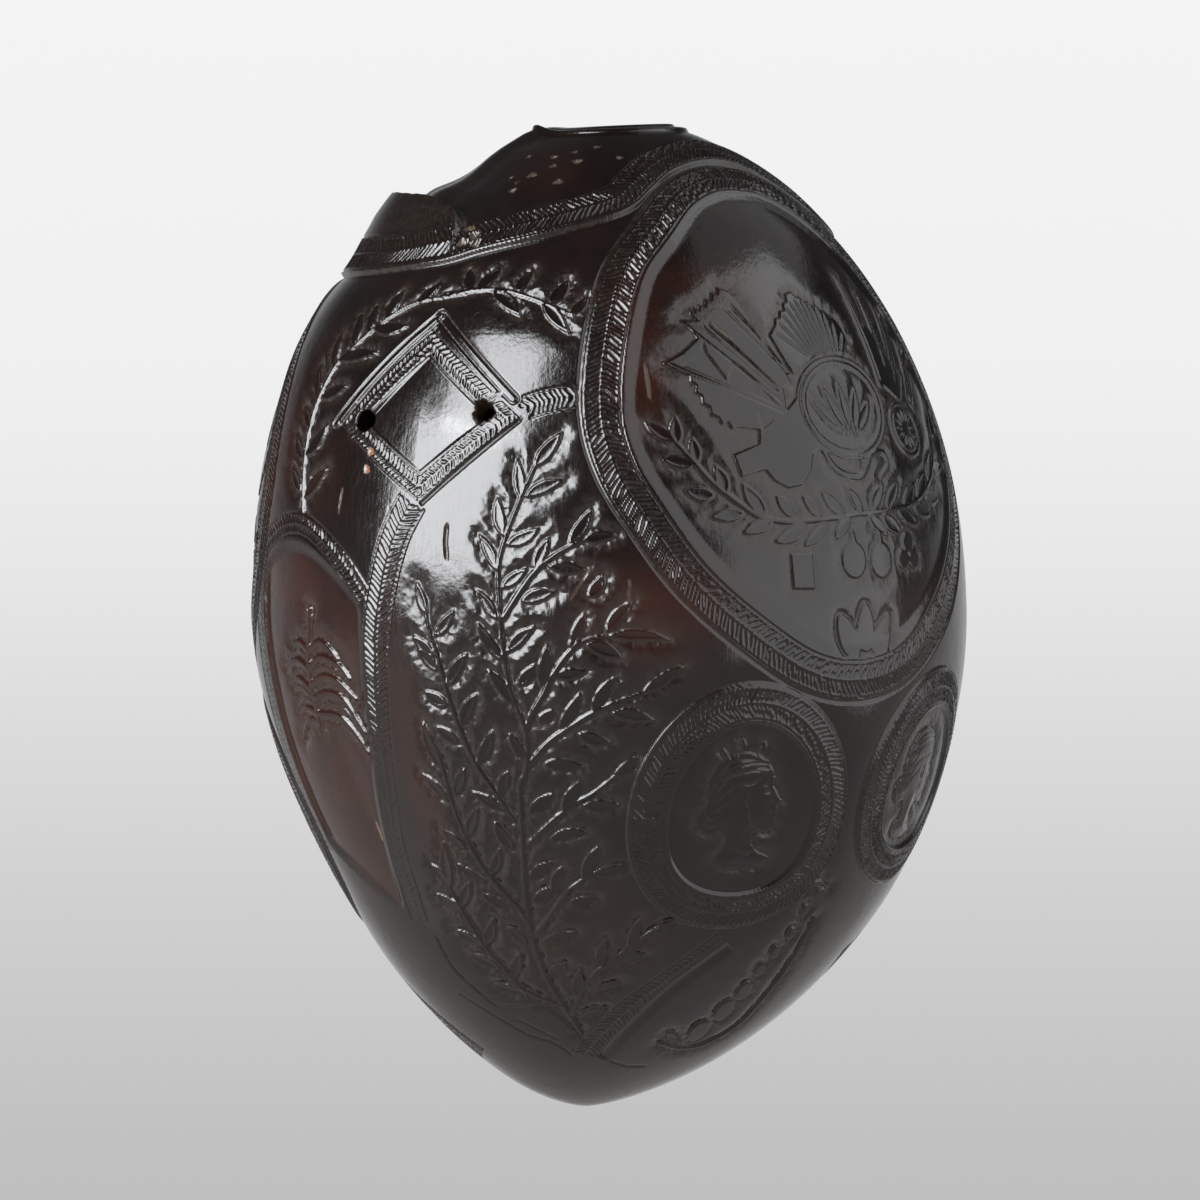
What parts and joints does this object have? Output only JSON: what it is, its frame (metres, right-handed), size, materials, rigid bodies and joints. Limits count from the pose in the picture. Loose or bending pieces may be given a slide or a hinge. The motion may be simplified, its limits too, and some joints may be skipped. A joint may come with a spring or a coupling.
{
  "type": "carved coconut-shell rattle head",
  "caption": "Egg-shaped hollow rattle head carved from a dark coconut shell, with a small open mouth, two drilled holes and loose seeds inside.",
  "frame": {"origin": "centre of the flat rim round the open mouth, where a handle would go in", "axes": "+Z is the long axis, out of the mouth; the blunt point hangs at -Z; -Y is the carved front that faces the viewer, and +X is to the viewer's right"},
  "size_m": [0.0986, 0.0986, 0.1353],
  "materials": {
    "polished_shell": "near-black brown coconut shell, carved, oiled and polished",
    "seed_coat": "hard round seeds with a dull satin coat"
  },
  "bodies": {
    "shell": {"carved_shell": "polished_shell"},
    "seed_01": {"rattle_seed_01": "seed_coat"},
    "seed_02": {"rattle_seed_02": "seed_coat"},
    "seed_03": {"rattle_seed_03": "seed_coat"},
    "seed_04": {"rattle_seed_04": "seed_coat"},
    "seed_05": {"rattle_seed_05": "seed_coat"},
    "seed_06": {"rattle_seed_06": "seed_coat"},
    "seed_07": {"rattle_seed_07": "seed_coat"},
    "seed_08": {"rattle_seed_08": "seed_coat"},
    "seed_09": {"rattle_seed_09": "seed_coat"},
    "seed_10": {"rattle_seed_10": "seed_coat"},
    "seed_11": {"rattle_seed_11": "seed_coat"},
    "seed_12": {"rattle_seed_12": "seed_coat"},
    "seed_13": {"rattle_seed_13": "seed_coat"},
    "seed_14": {"rattle_seed_14": "seed_coat"},
    "seed_15": {"rattle_seed_15": "seed_coat"},
    "seed_16": {"rattle_seed_16": "seed_coat"},
    "seed_17": {"rattle_seed_17": "seed_coat"},
    "seed_18": {"rattle_seed_18": "seed_coat"},
    "seed_19": {"rattle_seed_19": "seed_coat"}
  },
  "joints": [
    {"name": "seed_01_toss", "type": "slide", "parent": "shell", "child": "seed_01", "axis": [0, 0, 1], "range_m": [0, 0.12]},
    {"name": "seed_02_toss", "type": "slide", "parent": "shell", "child": "seed_02", "axis": [0, 0, 1], "range_m": [0, 0.117]},
    {"name": "seed_03_toss", "type": "slide", "parent": "shell", "child": "seed_03", "axis": [0, 0, 1], "range_m": [0, 0.117]},
    {"name": "seed_04_toss", "type": "slide", "parent": "shell", "child": "seed_04", "axis": [0, 0, 1], "range_m": [0, 0.117]},
    {"name": "seed_05_toss", "type": "slide", "parent": "shell", "child": "seed_05", "axis": [0, 0, 1], "range_m": [0, 0.117]},
    {"name": "seed_06_toss", "type": "slide", "parent": "shell", "child": "seed_06", "axis": [0, 0, 1], "range_m": [0, 0.117]},
    {"name": "seed_07_toss", "type": "slide", "parent": "shell", "child": "seed_07", "axis": [0, 0, 1], "range_m": [0, 0.117]},
    {"name": "seed_08_toss", "type": "slide", "parent": "shell", "child": "seed_08", "axis": [0, 0, 1], "range_m": [0, 0.11]},
    {"name": "seed_09_toss", "type": "slide", "parent": "shell", "child": "seed_09", "axis": [0, 0, 1], "range_m": [0, 0.11]},
    {"name": "seed_10_toss", "type": "slide", "parent": "shell", "child": "seed_10", "axis": [0, 0, 1], "range_m": [0, 0.11]},
    {"name": "seed_11_toss", "type": "slide", "parent": "shell", "child": "seed_11", "axis": [0, 0, 1], "range_m": [0, 0.11]},
    {"name": "seed_12_toss", "type": "slide", "parent": "shell", "child": "seed_12", "axis": [0, 0, 1], "range_m": [0, 0.11]},
    {"name": "seed_13_toss", "type": "slide", "parent": "shell", "child": "seed_13", "axis": [0, 0, 1], "range_m": [0, 0.11]},
    {"name": "seed_14_toss", "type": "slide", "parent": "shell", "child": "seed_14", "axis": [0, 0, 1], "range_m": [0, 0.11]},
    {"name": "seed_15_toss", "type": "slide", "parent": "shell", "child": "seed_15", "axis": [0, 0, 1], "range_m": [0, 0.11]},
    {"name": "seed_16_toss", "type": "slide", "parent": "shell", "child": "seed_16", "axis": [0, 0, 1], "range_m": [0, 0.11]},
    {"name": "seed_17_toss", "type": "slide", "parent": "shell", "child": "seed_17", "axis": [0, 0, 1], "range_m": [0, 0.11]},
    {"name": "seed_18_toss", "type": "slide", "parent": "shell", "child": "seed_18", "axis": [0, 0, 1], "range_m": [0, 0.11]},
    {"name": "seed_19_toss", "type": "slide", "parent": "shell", "child": "seed_19", "axis": [0, 0, 1], "range_m": [0, 0.11]}
  ]
}
